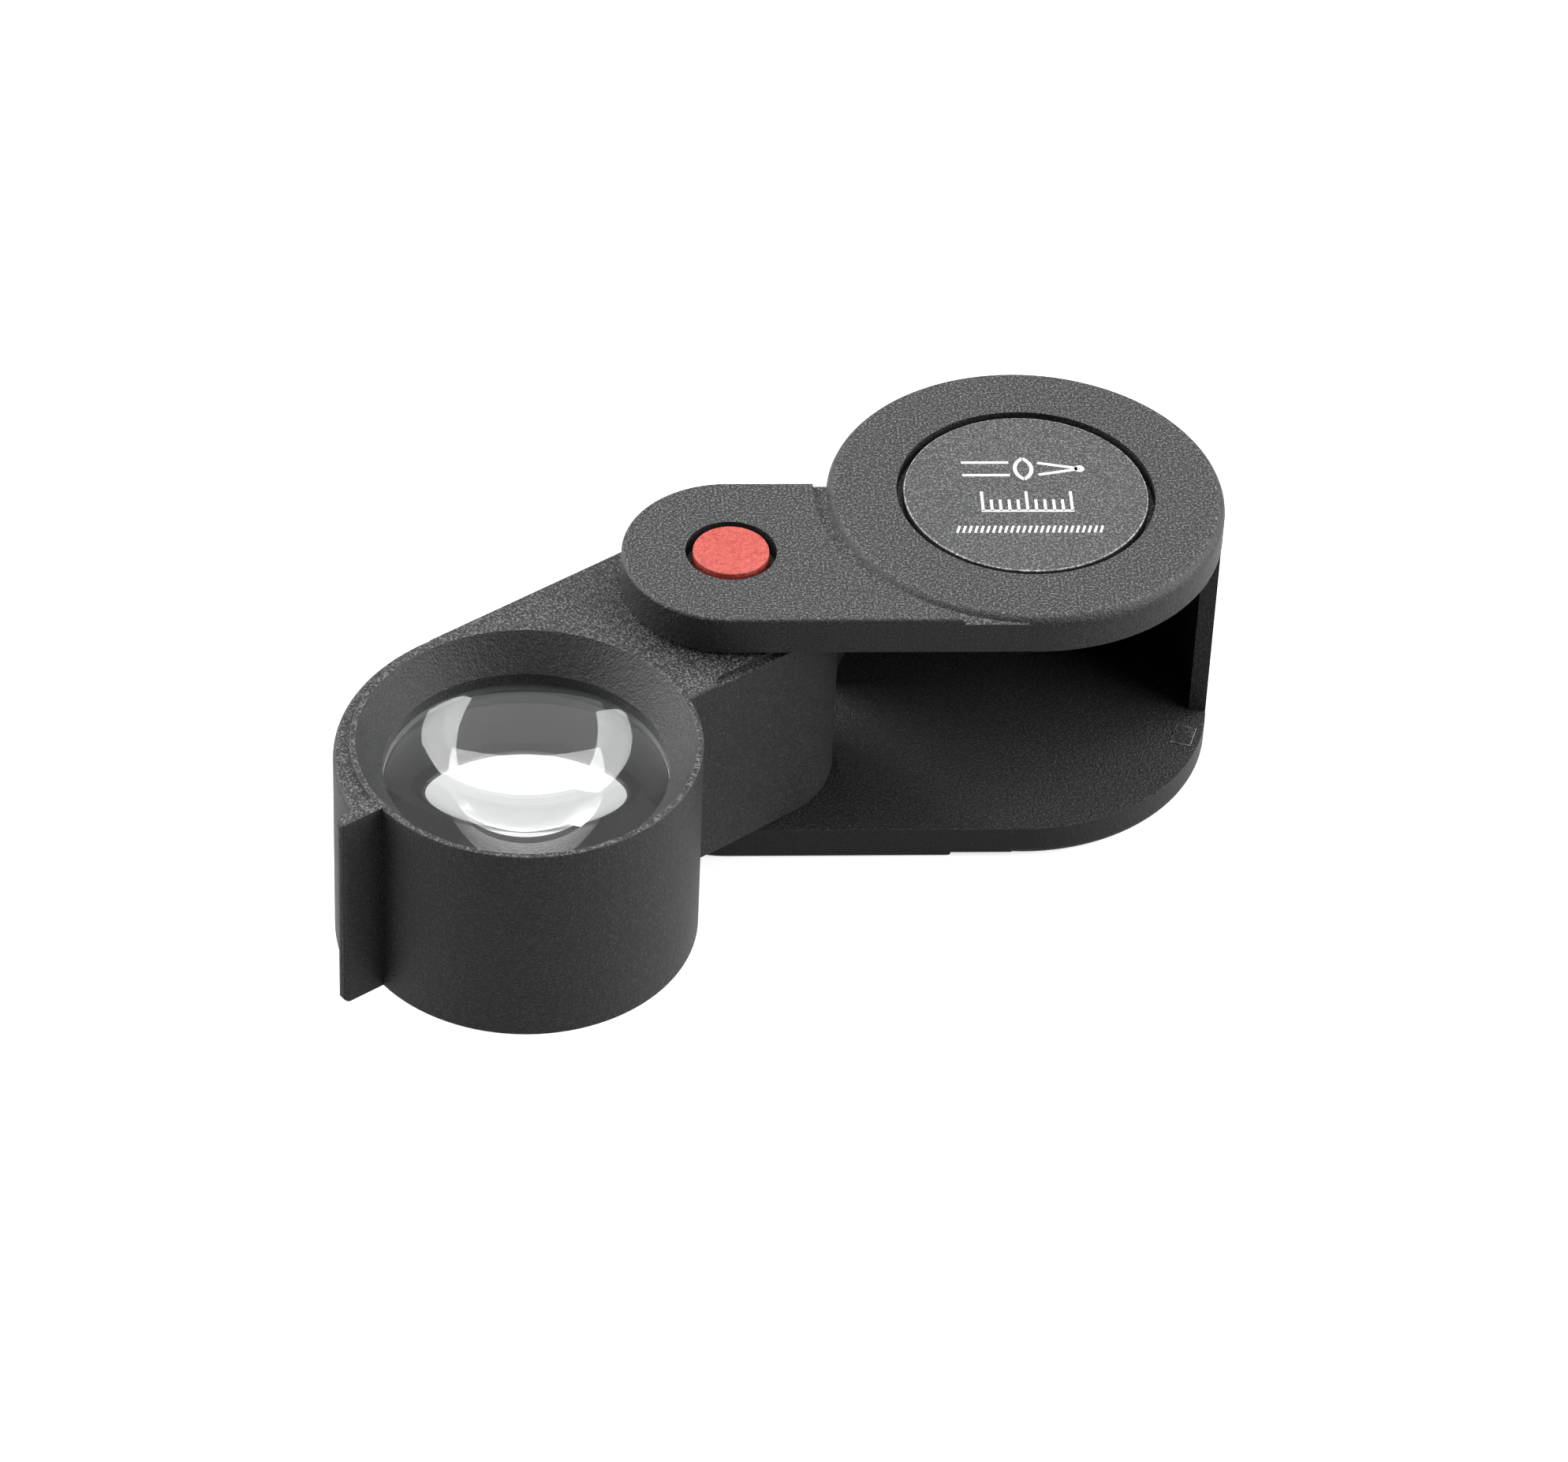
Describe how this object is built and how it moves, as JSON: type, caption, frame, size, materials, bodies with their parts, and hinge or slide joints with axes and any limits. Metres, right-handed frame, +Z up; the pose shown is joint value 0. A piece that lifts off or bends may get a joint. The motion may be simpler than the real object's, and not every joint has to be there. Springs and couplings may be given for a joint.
{
  "type": "folding hand lens",
  "caption": "Folding hand lens: a flat black case with a curved back wall, and a lens barrel on an arm that swings out of it about a pivot under a red cap.",
  "frame": {"origin": "on the pivot axis, at the flat resting face under the pivot end of the case", "axes": "+X along the case's straight front edge towards the large round end, +Y towards the curved back wall, +Z up through the upper cover with the red cap"},
  "size_m": [0.0748, 0.0586, 0.0261],
  "materials": {
    "case": "fine spark-eroded matte black",
    "label": "fine spark-eroded matte black with white print",
    "cap": "coral red with a leathery grain",
    "ring": "flat black",
    "seal": "black",
    "bush": "natural acetal",
    "steel": "turned",
    "brass": "turned",
    "glass": "polished"
  },
  "bodies": {
    "case": {"upper_shell": "case", "lower_shell": "case", "label_disc": "label", "base_disc": "case", "closing_detent": "case", "pivot_screw": "steel", "threaded_insert": "brass", "pivot_cap": "cap", "lower_washer": "steel", "upper_washer": "steel", "spring_washer": "steel"},
    "lens_arm": {"lens_housing": "case", "upper_bush": "bush", "lower_bush": "bush", "upper_lens": "glass", "lens_spacer": "ring", "lower_lens": "glass", "cushion_ring": "seal", "retaining_ring": "ring"}
  },
  "joints": [
    {"name": "arm_swing", "type": "hinge", "parent": "case", "child": "lens_arm", "pos_m": [0, 0, 0], "axis": [0, 0, 1], "range_deg": [-115, 144.5]}
  ]
}
